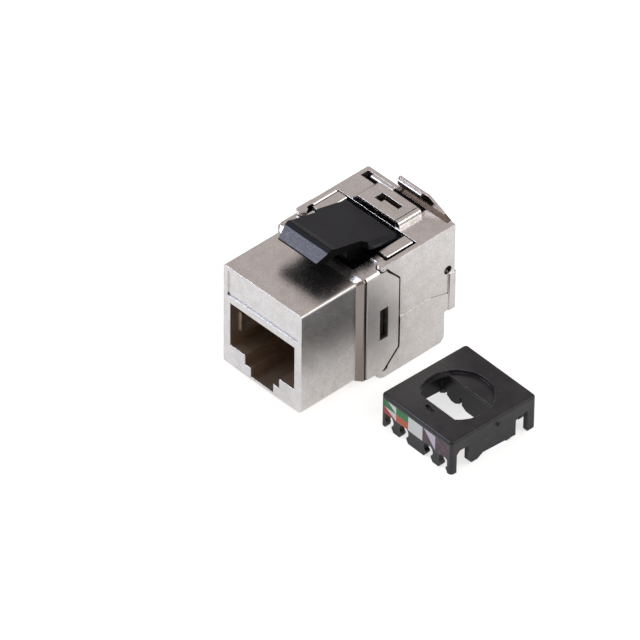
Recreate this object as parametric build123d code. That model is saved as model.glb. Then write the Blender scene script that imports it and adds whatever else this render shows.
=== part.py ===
from build123d import *
import math
import os

# A shielded keystone jack: a cast housing with the plug port in front, a latch clip on top,
# and a rear shell of two doors hinged on upright pins. The wire cap lies beside it, lifted off.
# Millimetres. X runs across the jack, Y from the port face to the cable end, Z up.
# The origin is the middle of the port mouth, on the front face.

# Front section of the housing
front_width = 14.5
front_height = 16.1
front_length = 9.5
port_axis_rise = 6.8
front_edge_round = 0.35

# Port and the recess above it
port_width = 12.0
port_height = 7.0
port_depth = 9.6
shelf_front = 1.5
latch_wide_half = 3.2
latch_wide_drop = 1.55
latch_narrow_half = 2.1
latch_narrow_drop = 2.95
plate_half_width = 6.5
plate_low = 4.6
plate_high = 8.6
plate_depth = 0.2

# Middle section and its side panels
shoulder_length = 0.9
mid_width = 16.0
mid_length = 3.9
mid_drop = 0.1
mid_rise = 0.5
mid_chamfer = 0.3
mid_wall = 1.1
panel_step = 0.35
panel_proud = 0.15
panel_reach = 2.5
slot_length = 1.5
slot_height = 5.1
slot_from_panel = 2.2
slot_rise = 5.2

# Roof over the wire block, with the blocks on each side of the clip
roof_length = 5.5
roof_thickness = 0.75
clip_bay_depth = 2.0
clip_bay_setback = 0.4
cheek_gap = 0.45
cheek_start = 1.0
cheek_edge = 0.12
brow_length = 1.35
brow_rise = 0.25

# Doors
door_width = 16.4
door_wall = 0.8
door_plate = 1.0
door_drop = 1.3
door_rise = 0.6
door_length = 12.1
door_low_length = 10.2
door_gap = 0.2
door_ledge_rise = 7.3
door_ledge_step = 0.1
ledge_run = 7.6
ledge_bend = 0.9
ledge_fall = 1.0
door_corner = 0.6
door_rear_round = 0.4
door_top_round = 0.3
rear_step_rise = 3.5
rear_step_slope = 0.4
top_opening = 2.2
knuckle_web = 2.2
hinge_inset = 0.4
knuckle_radius = 0.75
pin_radius = 0.3
pin_seat = 3.0
pin_clearance = 0.05
pin_cover = 0.5
knuckle_clearance = 0.1
barrel_steps = 5
seam_x = -1.5
seam_gap = 0.15
cable_hole_radius = 4.7
cable_hole_length = 8.0
side_hole_radius = 0.65
side_hole_setback = 1.35
side_hole_drop = 7.0
tab_height = 6.0
tab_width = 1.3
tab_proud = 0.25
edge_break = 0.15

# Strap of the left door over the right one, and its catch
strap_half_width = 3.2
strap_length = 4.0
strap_thickness = 0.3
strap_lift = 0.8
strap_setback = 0.1
strap_root = 1.6
strap_bend = 0.2
window_half_length = 1.9
window_width = 1.45
window_setback = 1.3
tooth_lift = 0.7
tooth_length = 0.95
tooth_left_gap = 0.9
tooth_right_gap = 0.35
ramp_length = 0.75
ramp_round = 0.7
arch_rise = 1.75
arch_left = -2.25
arch_right = 3.3
arch_slope = 3.95
arch_gap = 0.5
arch_wall = 0.4
arch_rib_inset = 0.2
arch_rib_right = 2.2
arch_rib_proud = 0.35
arch_rib_height = 0.8
set_in = 0.1

# Latch clip
clip_half_width = 5.0
clip_neck_half = 4.0
clip_thickness = 1.1
clip_slope = 14.5
clip_rear_rise = 0.45
clip_rear_drop = 0.25
clip_rear_run = 0.3
clip_bevel = 0.5
clip_corner = 0.6
lip_foot = 9.1
lip_ridge = 8.15
lip_rise = 0.35
lip_edge = 7.7
lip_edge_drop = 0.3
lip_tip = 5.95
lip_tip_drop = 1.15
lip_tip_half = 3.45
lip_thickness = 0.45
lip_tip_run = 0.3
clip_wide_length = 5.0
clip_wide_bend = 0.8
clip_pivot_setback = 1.4
clip_pivot_radius = 0.6
clip_barrel_radius = 0.75
clip_barrel_gap = 0.15
clip_barrel_lead = 1.2
clip_end_gap = 0.6
clip_side_gap = 0.25
pivot_stub_inset = 0.55
pivot_hole_inset = 0.4
latch_setback = 0.9
latch_length = 2.6
latch_root = 0.3
latch_nose = 0.5
latch_depth = 0.1
latch_inset = 0.4

# Contacts, board and wire block
contact_count = 8
contact_pitch = 1.016
contact_width = 0.45
contact_thickness = 0.3
contact_bend = 2.3
contact_low = 1.45
contact_rest = 1.0
contact_end = 0.5
contact_round = 0.35
contact_gap = 0.06
shelf_thickness = 0.95
shelf_margin = 0.6
carrier_length = 3.0
carrier_gap = 0.02
barb_depth = 0.4
barb_inset = 0.65
barb_length = 1.0
groove_lead = 0.6
comb_rear = 0.9
comb_drop = 0.6
board_thickness = 1.2
insert_clearance = 0.2
tower_length = 3.5
tower_thickness = 2.6
tower_half_height = 5.9
tower_root = 1.2
block_setback = 0.4
block_side_gap = 0.6
blade_thickness = 0.3
blade_width = 1.9
blade_slot = 0.36
blade_slot_depth = 2.6
blade_setback = 0.5
blade_lead = 0.5
blade_corner = 0.3
blade_mouth = 0.25
blade_fit = 0.03
wire_gap = 1.2
spring_thickness = 0.25
spring_height = 3.0
spring_bulge = 0.55
spring_front = 1.8
spring_lead = 0.8
spring_lean = 0.1
spring_middle = 5.0
spring_rear = 8.4
spring_drop = 0.6

# Wire cap, lifted off and set down beside the jack
cap_width = 13.3
cap_depth = 14.6
cap_height = 5.3
cap_wall = 0.8
cap_top = 0.9
cap_centre = (21.4, 14.3)
cap_turn = -1.8
ring_radius = 4.85
ring_depth = 0.5
ring_floor = 0.5
ring_rim = 0.5
ring_forward = 0.3
ring_chord = 2.2
mouth_front = 3.5
comb_setback = 0.6
comb_point = 0.5
comb_slot_rise = 1.6
comb_slot_half = 0.2
side_leg = 0.95
side_arch = 3.4
side_bend = 0.5
foot_front = 3.0
foot_rear = 3.5
foot_rise = 0.85
mark_size = (1.8, 0.6)
mark_depth = 0.4
mark_setback = 2.55
mark_turn = -8
bump_radius = 0.35
bump_setback = 0.7
bump_drop = 1.2
rib_half = 0.4
rib_inset = 1.6
rib_reach = 0.9
rib_height = 2.0
cap_corner = 0.5
cap_edge = 0.35
notch_places = (-5.12, -2.3, 2.3, 5.12)
notch_width = 0.95
notch_radius = 0.85
notch_rise = 1.55
barb_height = 0.55
label_length = 12.3
label_height = 2.3
label_drop = 0.72
label_thickness = 0.12

# Heights and stations worked out from the sizes above
front_bottom = -port_axis_rise
front_top = front_bottom + front_height
mid_bottom = front_bottom - mid_drop
mid_top = front_top + mid_rise
floor_z = front_bottom - door_drop
door_top = mid_top + door_rise
shoulder_end = front_length + shoulder_length
mid_end = shoulder_end + mid_length
roof_end = mid_end + roof_length
door_end = mid_end + door_length
door_half = door_width / 2
mid_half = mid_width / 2
panel_half = mid_half + panel_proud
hinge_x = door_half - knuckle_radius
hinge_y = mid_end - hinge_inset
lug_end = hinge_y + panel_reach
panel_start = shoulder_end + panel_step
room_half = mid_half - mid_wall
room_low = mid_bottom + mid_wall - 0.1
roof_low = mid_top - clip_bay_depth - roof_thickness
bay_floor = mid_top - clip_bay_depth
cheek_outer = door_half - door_wall - cheek_gap
cheek_inner = clip_half_width + clip_side_gap
board_start = port_depth + carrier_length + insert_clearance
block_start = board_start + board_thickness
block_half = room_half - block_side_gap
block_end = roof_end + insert_clearance
bay_middle = (floor_z + door_top) / 2
panel_top = mid_top - mid_chamfer
slot_start = panel_start + slot_from_panel
slot_low = front_bottom + slot_rise
shelf_half = contact_count * contact_pitch / 2 + shelf_margin
strap_start = roof_end + door_gap + strap_setback
step_low = front_bottom + rear_step_rise
step_high = step_low + rear_step_slope
door_low_end = mid_end + door_low_length


def block(x, y, z):
    """A box between the low and high of each axis."""
    size = Box(x[1] - x[0], y[1] - y[0], z[1] - z[0])
    return Pos((x[0] + x[1]) / 2, (y[0] + y[1]) / 2, (z[0] + z[1]) / 2) * size


def cross_plane(y):
    """The upright plane across the jack at a station, with X to the right and Z up."""
    return Plane(origin=(0, y, 0), x_dir=(1, 0, 0), z_dir=(0, -1, 0))


def across(points, y_low, y_high):
    """An outline in X and Z, drawn out from one station to another."""
    outline = make_face(Polyline(*points, close=True))
    return extrude(cross_plane(y_high) * outline, y_high - y_low)


def sideways(points, x_low, x_high):
    """An outline in Y and Z, drawn out from one X to another."""
    outline = make_face(Polyline(*points, close=True))
    return extrude(Plane.YZ.offset(x_low) * outline, x_high - x_low)


def upward(points, z_low, z_high):
    """An outline in X and Y, drawn up from one height to another."""
    outline = make_face(Polyline(*points, close=True))
    return extrude(Plane.XY.offset(z_low) * outline, z_high - z_low)


def post(x, y, radius, z_low, z_high):
    """An upright cylinder."""
    return Pos(x, y, (z_low + z_high) / 2) * Cylinder(radius, z_high - z_low)


def bar(x_low, x_high, y, z, radius):
    """A cylinder that lies along X."""
    return Pos((x_low + x_high) / 2, y, z) * Rot(0, 90, 0) * Cylinder(radius, x_high - x_low)


def swing_room(clearance):
    """The space a side panel turns in, round the right hinge: a barrel with coned ends."""
    side = panel_half - hinge_x
    low_wide = mid_bottom + panel_reach
    high_wide = panel_top - panel_reach
    low_part = []
    high_part = []
    for step in range(barrel_steps + 1):
        reach = panel_reach * step / barrel_steps
        radius = max(knuckle_radius, math.hypot(reach, side)) + clearance
        low_part.append((radius, low_wide - panel_reach + reach))
        high_part.append((radius, high_wide + panel_reach - reach))
    ring = [(0, mid_bottom - clearance), (low_part[0][0], mid_bottom - clearance)]
    ring = ring + low_part + high_part[::-1]
    ring = ring + [(low_part[0][0], panel_top + clearance), (0, panel_top + clearance)]
    outline = make_face(Polyline(*ring, close=True))
    return Pos(hinge_x, hinge_y, 0) * revolve(Plane.XZ * outline, Axis.Z)


def knuckle_rooms(clearance):
    """The space that the door's two knuckles and their arms turn in, round the right hinge."""
    reach = knuckle_radius + clearance
    spaces = []
    for low, high in ((floor_z - 1, mid_bottom), (panel_top, door_top + 1)):
        front = block(
            (hinge_x, door_half + 1),
            (hinge_y - reach, lug_end + 1),
            (low, high),
        )
        spaces.append(front + post(hinge_x, hinge_y, reach, low, high))
    return spaces[0] + spaces[1]


def mirror_pair(shape):
    """A right-hand shape together with its left-hand twin."""
    return shape + mirror(shape, Plane.YZ)


def housing_body():
    """The outside of the casting: front section, shoulder and middle section."""
    front = block(
        (-front_width / 2, front_width / 2),
        (0, front_length),
        (front_bottom, front_top),
    )
    front = fillet(front.edges().filter_by(Axis.Y), front_edge_round)
    middle = [
        (-mid_half, mid_bottom),
        (mid_half, mid_bottom),
        (mid_half, mid_top - mid_chamfer),
        (mid_half - mid_chamfer, mid_top),
        (-mid_half + mid_chamfer, mid_top),
        (-mid_half, mid_top - mid_chamfer),
    ]
    inset = (mid_width - front_width) / 2
    neck = [
        (-front_width / 2, front_bottom),
        (front_width / 2, front_bottom),
        (front_width / 2, front_top - front_edge_round),
        (front_width / 2 - front_edge_round, front_top),
        (-front_width / 2 + front_edge_round, front_top),
        (-front_width / 2, front_top - front_edge_round),
    ]
    start = cross_plane(front_length) * make_face(Polyline(*neck, close=True))
    end = cross_plane(front_length + min(inset, shoulder_length)) * make_face(
        Polyline(*middle, close=True)
    )
    shoulder = loft([start, end])
    rear = across(middle, front_length + min(inset, shoulder_length), mid_end)
    return front + shoulder + rear


def side_panel():
    """The right side panel, whose rear end is the middle knuckle of the door hinge."""
    outline = [
        (panel_start, mid_bottom),
        (lug_end - panel_reach, mid_bottom),
        (lug_end, mid_bottom + panel_reach),
        (lug_end, panel_top - panel_reach),
        (lug_end - panel_reach, panel_top),
        (panel_start, panel_top),
    ]
    panel = sideways(outline, room_half, panel_half)
    boss = post(hinge_x, hinge_y, panel_half - hinge_x, mid_bottom, panel_top)
    return panel + boss


def port_cut():
    """The plug's way in, with the two steps that its latch needs."""
    half = port_height / 2
    outline = [
        (-port_width / 2, half),
        (-port_width / 2, -half),
        (-latch_wide_half, -half),
        (-latch_wide_half, -half - latch_wide_drop),
        (-latch_narrow_half, -half - latch_wide_drop),
        (-latch_narrow_half, -half - latch_narrow_drop),
        (latch_narrow_half, -half - latch_narrow_drop),
        (latch_narrow_half, -half - latch_wide_drop),
        (latch_wide_half, -half - latch_wide_drop),
        (latch_wide_half, -half),
        (port_width / 2, -half),
        (port_width / 2, half),
    ]
    return across(outline, -1, port_depth)


def front_housing():
    """The cast housing, in one piece."""
    half = port_height / 2
    roof = block(
        (-cheek_outer, cheek_outer),
        (mid_end - 1, roof_end),
        (roof_low, bay_floor),
    )
    cheek = block(
        (cheek_inner, cheek_outer),
        (mid_end + cheek_start, roof_end),
        (roof_low, door_top),
    )
    cheek = chamfer(cheek.edges().filter_by(Axis.Y).group_by(Axis.Z)[-1], cheek_edge)
    brow = block(
        (cheek_inner, hinge_x - knuckle_radius - knuckle_clearance),
        (mid_end + cheek_start - edge_break - brow_length, mid_end + cheek_start - edge_break),
        (roof_low, mid_top + brow_rise),
    )
    brow = fillet(brow.edges().filter_by(Axis.X).group_by(Axis.Z)[-1], brow_rise)
    room = block(
        (-room_half, room_half),
        (port_depth - 0.01, lug_end + 5),
        (room_low, roof_low),
    )
    clip_bay = block(
        (-cheek_inner, cheek_inner),
        (shoulder_end + clip_bay_setback, roof_end + 1),
        (bay_floor, door_top + 5),
    )
    shelf_pocket = block(
        (-shelf_half, shelf_half),
        (shelf_front - set_in, port_depth),
        (half - 0.01, half + shelf_thickness + set_in),
    )
    name_plate = block(
        (-plate_half_width, plate_half_width),
        (-1, plate_depth),
        (plate_low, plate_high),
    )
    slot = block(
        (room_half - 1, panel_half + 1),
        (slot_start, slot_start + slot_length),
        (slot_low, slot_low + slot_height),
    )
    bore_radius = pin_radius + pin_clearance
    seat = pin_seat + pin_clearance
    bore = post(hinge_x, hinge_y, bore_radius, panel_top - seat, mid_top + 1)
    bore = bore + post(hinge_x, hinge_y, bore_radius, mid_bottom - 1, mid_bottom + seat)
    pivot_hole = bar(
        cheek_inner - 0.5,
        cheek_outer - pivot_hole_inset,
        roof_end - clip_pivot_setback,
        pivot_height(),
        clip_pivot_radius + pin_clearance,
    )
    casting = housing_body() - room - port_cut() - shelf_pocket - name_plate
    casting = casting + mirror_pair(side_panel()) + roof - clip_bay
    casting = casting + mirror_pair(cheek) + mirror_pair(brow)
    casting = casting - mirror_pair(knuckle_rooms(knuckle_clearance))
    casting = casting - mirror_pair(slot) - mirror_pair(bore) - mirror_pair(pivot_hole)
    return casting


def pivot_height():
    """The height of the clip's pivot over the floor of its bay."""
    return bay_floor + clip_barrel_radius + clip_barrel_gap


def hinge_pin(row):
    """A right hinge pin, pressed into the door's arm and running in the housing; row is 1 above."""
    if row > 0:
        return post(hinge_x, hinge_y, pin_radius, panel_top - pin_seat, door_top - pin_cover)
    return post(hinge_x, hinge_y, pin_radius, floor_z + set_in, mid_bottom + pin_seat)


def door_shell(edge):
    """A right-hand door without the knuckles, whose plates and rear wall end at a given X."""
    inner = door_half - door_wall
    outline = [
        (mid_end, floor_z),
        (door_low_end - door_corner, floor_z),
        (door_low_end, floor_z + door_corner),
        (door_low_end, step_low),
        (door_end, step_high),
        (door_end, door_top),
        (mid_end, door_top),
    ]
    side = sideways(outline, inner, door_half)
    top = block(
        (edge, door_half),
        (roof_end + door_gap, door_end - top_opening),
        (door_top - door_plate, door_top),
    )
    rim = block(
        (door_half - door_wall, door_half),
        (mid_end, door_end),
        (door_top - door_plate, door_top),
    )
    low = block(
        (edge, door_half),
        (mid_end + knuckle_clearance, door_low_end - door_corner),
        (floor_z, floor_z + door_plate),
    )
    rear = block(
        (edge, door_half),
        (door_end - door_wall, door_end),
        (step_high, door_top),
    )
    low_rear = sideways(
        [
            (door_low_end - door_corner, floor_z),
            (door_low_end, floor_z + door_corner),
            (door_low_end, step_low),
            (door_end, step_high),
            (door_end - door_wall, step_high + door_wall),
            (door_low_end - door_wall, step_low + door_wall),
            (door_low_end - door_wall, floor_z + door_plate),
            (door_low_end - door_wall - door_corner, floor_z),
        ],
        edge,
        door_half,
    )
    envelope = block(
        (edge, door_half),
        (mid_end, door_end),
        (floor_z, door_top),
    )
    rear_corner = envelope.edges().filter_by(Axis.Z).sort_by(Axis.X)[-2:].sort_by(Axis.Y)[-1]
    envelope = fillet(rear_corner, door_rear_round)
    top_corner = envelope.edges().filter_by(Axis.Y).group_by(Axis.Z)[-1].sort_by(Axis.X)[-1]
    envelope = fillet(top_corner, door_top_round)
    return (side + top + rim + low + rear + low_rear) & envelope


def right_blank(edge):
    """A right-hand door with its knuckles, hinge bore and clearances."""
    shell = door_shell(edge) - swing_room(knuckle_clearance)
    arm_front = block(
        (hinge_x - knuckle_radius, door_half + 1),
        (mid_end - 1, hinge_y),
        (floor_z - 1, door_top + 1),
    )
    shell = shell - arm_front
    arm_low = panel_top + knuckle_clearance
    top_knuckle = post(hinge_x, hinge_y, knuckle_radius, arm_low, door_top)
    arm_high = mid_bottom - knuckle_clearance
    low_knuckle = post(hinge_x, hinge_y, knuckle_radius, floor_z, arm_high)
    top_web = block(
        (hinge_x, door_half),
        (hinge_y, hinge_y + knuckle_web),
        (arm_low, door_top),
    )
    low_web = block(
        (hinge_x - knuckle_radius, door_half),
        (hinge_y, hinge_y + knuckle_web),
        (floor_z, arm_high),
    )
    bore = post(hinge_x, hinge_y, pin_radius, floor_z - 1, door_top - pin_cover)
    return shell + top_knuckle + low_knuckle + top_web + low_web - bore


def cable_hole():
    """The round way out for the cable, at the middle of the rear wall."""
    turn = Pos(0, door_end, bay_middle) * Rot(90, 0, 0)
    return turn * Cylinder(cable_hole_radius, cable_hole_length)


def ledge_cut():
    """Trims the upper half of a right-hand side wall, so that its lower half stands proud."""
    ledge = front_bottom + door_ledge_rise
    outline = [
        (mid_end - 1, ledge),
        (mid_end + ledge_run, ledge),
        (door_end - tab_width - ledge_bend, ledge - ledge_fall * 0.7),
        (door_end - tab_width, ledge - ledge_fall),
        (door_end + 1, ledge - ledge_fall),
        (door_end + 1, door_top + 1),
        (mid_end - 1, door_top + 1),
    ]
    return sideways(outline, door_half - door_ledge_step, door_half + 1)


def side_tab():
    """The small tab at the rear edge of a right-hand side wall."""
    tab = block(
        (door_half - door_wall, door_half + tab_proud - door_ledge_step),
        (door_end - tab_width, door_end),
        (step_low, step_low + tab_height),
    )
    return chamfer(tab.edges().filter_by(Axis.Z).sort_by(Axis.X)[-2:], edge_break)


def side_hole():
    """The round hole near the rear edge of a right-hand side wall."""
    return bar(
        door_half - 2,
        door_half + 1,
        door_end - side_hole_setback,
        door_top - side_hole_drop,
        side_hole_radius,
    )


def window_pocket():
    """The opening in both doors' top plates, under the window of the strap."""
    start = strap_start + window_setback
    return block(
        (-window_half_length - set_in, window_half_length + set_in),
        (start, start + window_width + set_in),
        (door_top - door_plate - 1, door_top + 1),
    )


def right_door():
    """The right door, with the catch tooth and the ramp beside the strap."""
    door = right_blank(seam_x + seam_gap)
    tooth_rear = strap_start + window_setback + tooth_length
    tooth = block(
        (-window_half_length + tooth_left_gap, window_half_length - tooth_right_gap),
        (strap_start + window_setback - set_in, tooth_rear),
        (door_top - door_plate, door_top + tooth_lift),
    )
    ramp_start = strap_half_width + seam_gap
    ramp = block(
        (ramp_start, ramp_start + ramp_length),
        (strap_start, strap_start + strap_length),
        (door_top - set_in, door_top + strap_lift + strap_thickness),
    )
    ramp_edge = ramp.edges().filter_by(Axis.Y).group_by(Axis.Z)[-1].sort_by(Axis.X)[-1]
    ramp = fillet(ramp_edge, ramp_round)
    rear_plate = block(
        (arch_right + seam_gap, door_half - door_wall),
        (door_end - top_opening - set_in, door_end - door_wall + set_in),
        (door_top - door_plate, door_top),
    )
    door = door + rear_plate - ledge_cut() + side_tab() - side_hole()
    door = door - cable_hole() - window_pocket()
    return door + tooth + ramp


def strap():
    """The strap that the left door lays over the right one, with the catch's window."""
    low = door_top + strap_lift
    high = low + strap_thickness
    profile = [
        (-strap_half_width - strap_root, door_top - set_in),
        (-strap_half_width - strap_bend, low),
        (strap_half_width, low),
        (strap_half_width, high),
        (-strap_half_width - strap_bend * 2, high),
        (-strap_half_width - strap_root, door_top),
    ]
    band = across(profile, strap_start, strap_start + strap_length)
    window_start = strap_start + window_setback
    window = block(
        (-window_half_length, window_half_length),
        (window_start, window_start + window_width),
        (door_top, high + 1),
    )
    return band - window


def arch():
    """The raised middle of the rear wall, carried by the left door over the right one."""
    low = door_top + arch_gap
    high = door_top + arch_rise
    tip = arch_right + arch_slope * (arch_rise - arch_gap) / arch_rise
    outline = [
        (arch_left, door_top - set_in),
        (arch_left, high),
        (arch_right, high),
        (tip, low),
        (seam_x, low),
        (seam_x, door_top - set_in),
    ]
    wall = across(outline, door_end - arch_wall, door_end)
    rib = block(
        (arch_left + arch_rib_inset, arch_rib_right),
        (door_end - arch_wall - arch_rib_proud, door_end - arch_wall),
        (high - arch_rib_inset - arch_rib_height, high - arch_rib_inset),
    )
    rib = fillet(rib.edges().filter_by(Axis.X).sort_by(Axis.Y)[:2], arch_rib_proud / 2)
    return wall + rib


def left_door():
    """The left door, with the strap and the arch."""
    door = right_blank(-seam_x)
    door = door - ledge_cut() + side_tab() - side_hole()
    door = mirror(door, Plane.YZ) - cable_hole() - window_pocket()
    return door + strap() + arch()


def clip_height(y):
    """The height of the clip's top at a station."""
    rear = roof_end - clip_end_gap
    return door_top + clip_rear_rise + (rear - y) * math.tan(math.radians(clip_slope))


def latch_clip():
    """The latch clip: a sloping lever with a thumb lip, a latch below and pivot stubs."""
    rear = roof_end - clip_end_gap
    pivot_y = roof_end - clip_pivot_setback
    pivot_z = pivot_height()
    thick = clip_thickness
    ridge = clip_height(lip_foot) + lip_rise
    lever = [
        (rear, clip_height(rear) - clip_rear_drop),
        (rear - clip_rear_run, clip_height(rear - clip_rear_run)),
        (lip_foot, clip_height(lip_foot)),
        (lip_ridge, ridge),
        (lip_edge, ridge - lip_edge_drop),
        (lip_tip, ridge - lip_edge_drop - lip_tip_drop),
        (lip_tip + lip_tip_run, ridge - lip_edge_drop - lip_tip_drop - lip_thickness),
        (lip_foot, clip_height(lip_foot) - thick),
        (pivot_y - clip_barrel_lead, clip_height(pivot_y - clip_barrel_lead) - thick),
        (pivot_y - clip_barrel_radius, pivot_z),
        (pivot_y, pivot_z - clip_barrel_radius * 0.7),
        (pivot_y + clip_barrel_radius, pivot_z),
        (rear, clip_height(rear) - thick),
    ]
    wide_start = rear - clip_wide_length
    narrow = sideways(lever, -clip_neck_half, clip_neck_half)
    narrow = narrow & upward(
        [
            (-lip_tip_half, lip_tip - 0.1),
            (lip_tip_half, lip_tip - 0.1),
            (clip_neck_half, lip_edge),
            (clip_neck_half, rear + 1),
            (-clip_neck_half, rear + 1),
            (-clip_neck_half, lip_edge),
        ],
        bay_floor,
        door_top + 5,
    )
    wide = sideways(lever, -clip_half_width, clip_half_width)
    slopes = wide.edges().filter_by(lambda edge: edge.length > clip_wide_length)
    slopes = slopes.filter_by(lambda edge: abs(edge.center().X) > clip_neck_half)
    wide = chamfer(slopes.sort_by(Axis.Z)[-2:], clip_bevel)
    wide = wide & upward(
        [
            (-clip_neck_half, wide_start - clip_wide_bend),
            (clip_neck_half, wide_start - clip_wide_bend),
            (clip_half_width, wide_start),
            (clip_half_width, rear - clip_corner),
            (clip_half_width - clip_corner, rear),
            (-clip_half_width + clip_corner, rear),
            (-clip_half_width, rear - clip_corner),
            (-clip_half_width, wide_start),
        ],
        bay_floor,
        door_top + 5,
    )
    latch_front = shoulder_end + latch_setback
    latch_rear = latch_front + latch_length
    latch = sideways(
        [
            (latch_front, clip_height(latch_front) - thick + latch_root),
            (latch_front, mid_top + latch_nose),
            (latch_front + latch_nose, mid_top - latch_depth),
            (latch_rear, mid_top + latch_root),
            (latch_rear, clip_height(latch_rear) - thick + latch_root),
        ],
        -clip_neck_half + latch_inset,
        clip_neck_half - latch_inset,
    )
    stub_end = cheek_outer - pivot_stub_inset
    stubs = bar(-stub_end, stub_end, pivot_y, pivot_z, clip_pivot_radius)
    barrel = bar(-clip_half_width, clip_half_width, pivot_y, pivot_z, clip_barrel_radius)
    return narrow + wide + latch + barrel + stubs


def contact_wire(index):
    """One spring contact: along the shelf, round a bend and back down into the comb."""
    x = (index - (contact_count - 1) / 2) * contact_pitch
    high = port_height / 2 + shelf_thickness / 2
    path = FilletPolyline(
        (board_start, high),
        (contact_bend, high),
        (port_depth - contact_rest, contact_low),
        (port_depth + contact_end, contact_low),
        radius=contact_round,
    )
    ribbon = trace(path, contact_thickness)
    start = Plane.YZ.offset(x - contact_width / 2)
    return extrude(start * ribbon, contact_width)


def contact_carrier():
    """The black insert behind the port: the shelf for the wires and the comb they rest in."""
    half = port_height / 2
    body = block(
        (-room_half + insert_clearance, room_half - insert_clearance),
        (port_depth + carrier_gap, port_depth + carrier_length),
        (room_low + insert_clearance, roof_low - insert_clearance),
    )
    shelf = block(
        (-shelf_half + set_in, shelf_half - set_in),
        (shelf_front, port_depth + 1),
        (half + carrier_gap, half + shelf_thickness),
    )
    barb_side = room_half - insert_clearance
    barb = block(
        (barb_side - barb_depth, mid_half - barb_inset),
        (port_depth + carrier_length - barb_length, slot_start + slot_length - set_in),
        (slot_low + set_in, slot_low + slot_height - set_in),
    )
    barb = barb - block(
        (barb_side, mid_half),
        (0, slot_start + set_in),
        (slot_low, slot_low + slot_height),
    )
    insert = body + shelf + mirror_pair(barb)
    for index in range(contact_count):
        x = (index - (contact_count - 1) / 2) * contact_pitch
        reach = contact_width / 2 + contact_gap
        groove = block(
            (x - reach, x + reach),
            (contact_bend - groove_lead, board_start + 1),
            (half - 0.1, half + shelf_thickness / 2 + contact_thickness / 2 + 0.03),
        )
        comb = block(
            (x - reach, x + reach),
            (port_depth - contact_rest, port_depth + comb_rear),
            (contact_low - comb_drop, half + 2 * set_in),
        )
        insert = insert - groove - comb
    return insert


def shield_spring():
    """The right earth spring, a bowed strip on the side wall of the port."""
    wall = port_width / 2 - spring_thickness / 2
    path = Spline(
        (wall, spring_front),
        (wall - spring_lean, spring_front + spring_lead),
        (wall - spring_bulge, spring_middle),
        (wall - spring_lean, spring_rear - spring_lead),
        (wall, spring_rear),
    )
    ribbon = trace(path, spring_thickness)
    start = Plane.XY.offset(-spring_height / 2 - spring_drop)
    return extrude(start * ribbon, spring_height)


def circuit_board():
    """The board between the spring contacts and the wire block."""
    return block(
        (-block_half, block_half),
        (board_start, board_start + board_thickness),
        (room_low + insert_clearance, roof_low - insert_clearance),
    )


def blade_place(row):
    """The height of a row's blades, row being 1 above and -1 below."""
    return bay_middle + row * (tower_half_height - tower_thickness / 2)


def wire_blade(place, row):
    """One insulation-displacement blade: a fork that grips a wire."""
    tip = block_end + tower_length - blade_setback
    root = block_start
    half = blade_width / 2
    slot = blade_slot / 2
    outline = [
        (place - half, root),
        (place - half, tip - blade_lead),
        (place - half + blade_corner, tip),
        (place - slot - blade_mouth, tip),
        (place - slot, tip - blade_lead),
        (place - slot, tip - blade_slot_depth),
        (place + slot, tip - blade_slot_depth),
        (place + slot, tip - blade_lead),
        (place + slot + blade_mouth, tip),
        (place + half - blade_corner, tip),
        (place + half, tip - blade_lead),
        (place + half, root),
    ]
    middle = blade_place(row)
    return upward(outline, middle - blade_thickness / 2, middle + blade_thickness / 2)


def wire_block():
    """The moulded block behind the board, with a row of slotted towers above and below."""
    body = block(
        (-block_half, block_half),
        (block_start, roof_end - block_setback),
        (room_low + insert_clearance, roof_low - insert_clearance),
    )
    half = blade_width / 2
    moulding = body
    for row in (1, -1):
        outer = bay_middle + row * tower_half_height
        inner = outer - row * tower_thickness
        tower = block(
            (-block_half, block_half),
            (roof_end - tower_root, block_end + tower_length),
            (min(outer, inner), max(outer, inner)),
        )
        neck = block(
            (-block_half, block_half),
            (roof_end - tower_root, roof_end - block_setback),
            (min(inner, 0), max(inner, 0)),
        )
        moulding = moulding + tower + neck
        for place in notch_places:
            gap = block(
                (place - wire_gap / 2, place + wire_gap / 2),
                (block_end + block_setback, block_end + tower_length + 1),
                (min(outer, inner) - 1, max(outer, inner) + 1),
            )
            pocket = block(
                (place - half - blade_fit, place + half + blade_fit),
                (block_start - 1, block_end + tower_length + 1),
                (
                    blade_place(row) - blade_thickness / 2 - blade_fit,
                    blade_place(row) + blade_thickness / 2 + blade_fit,
                ),
            )
            moulding = moulding - gap - pocket
    return moulding


def cap_wall_outline():
    """A notched wall of the wire cap, in X and Z, standing on its barbed legs."""
    outline = Pos(0, cap_height / 2) * Rectangle(cap_width, cap_height)
    for place in notch_places:
        mouth = Pos(place, notch_rise / 2) * Rectangle(notch_width, notch_rise)
        eye = Pos(place, notch_rise) * Circle(notch_radius)
        low = make_face(
            Polyline(
                (place - notch_radius, -0.01),
                (place - notch_width / 2, barb_height),
                (place + notch_width / 2, barb_height),
                (place + notch_radius, -0.01),
                close=True,
            )
        )
        outline = outline - mouth - eye - low
    return outline


def cap_side_outline():
    """A plain side wall of the wire cap, in Y and Z."""
    half = cap_depth / 2
    points = [
        (-half, cap_height),
        (-half, 0),
        (-half + side_leg, 0),
        (-half + side_leg, side_arch - side_bend),
        (-half + side_leg + side_bend, side_arch),
        (-half + foot_front, side_arch),
        (-half + foot_front, foot_rise),
        (-half + foot_front + side_bend, barb_height / 2),
        (-half + foot_front + side_bend * 3, barb_height / 2),
        (-half + foot_front + side_bend * 5, foot_rise),
        (half - foot_rear, barb_height),
        (half - foot_rear, side_arch - side_bend),
        (half - foot_rear + side_bend, side_arch),
        (half - side_leg - side_bend, side_arch),
        (half - side_leg - side_bend, 0),
        (half, 0),
        (half, cap_height),
    ]
    return make_face(Polyline(*points, close=True))


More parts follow.
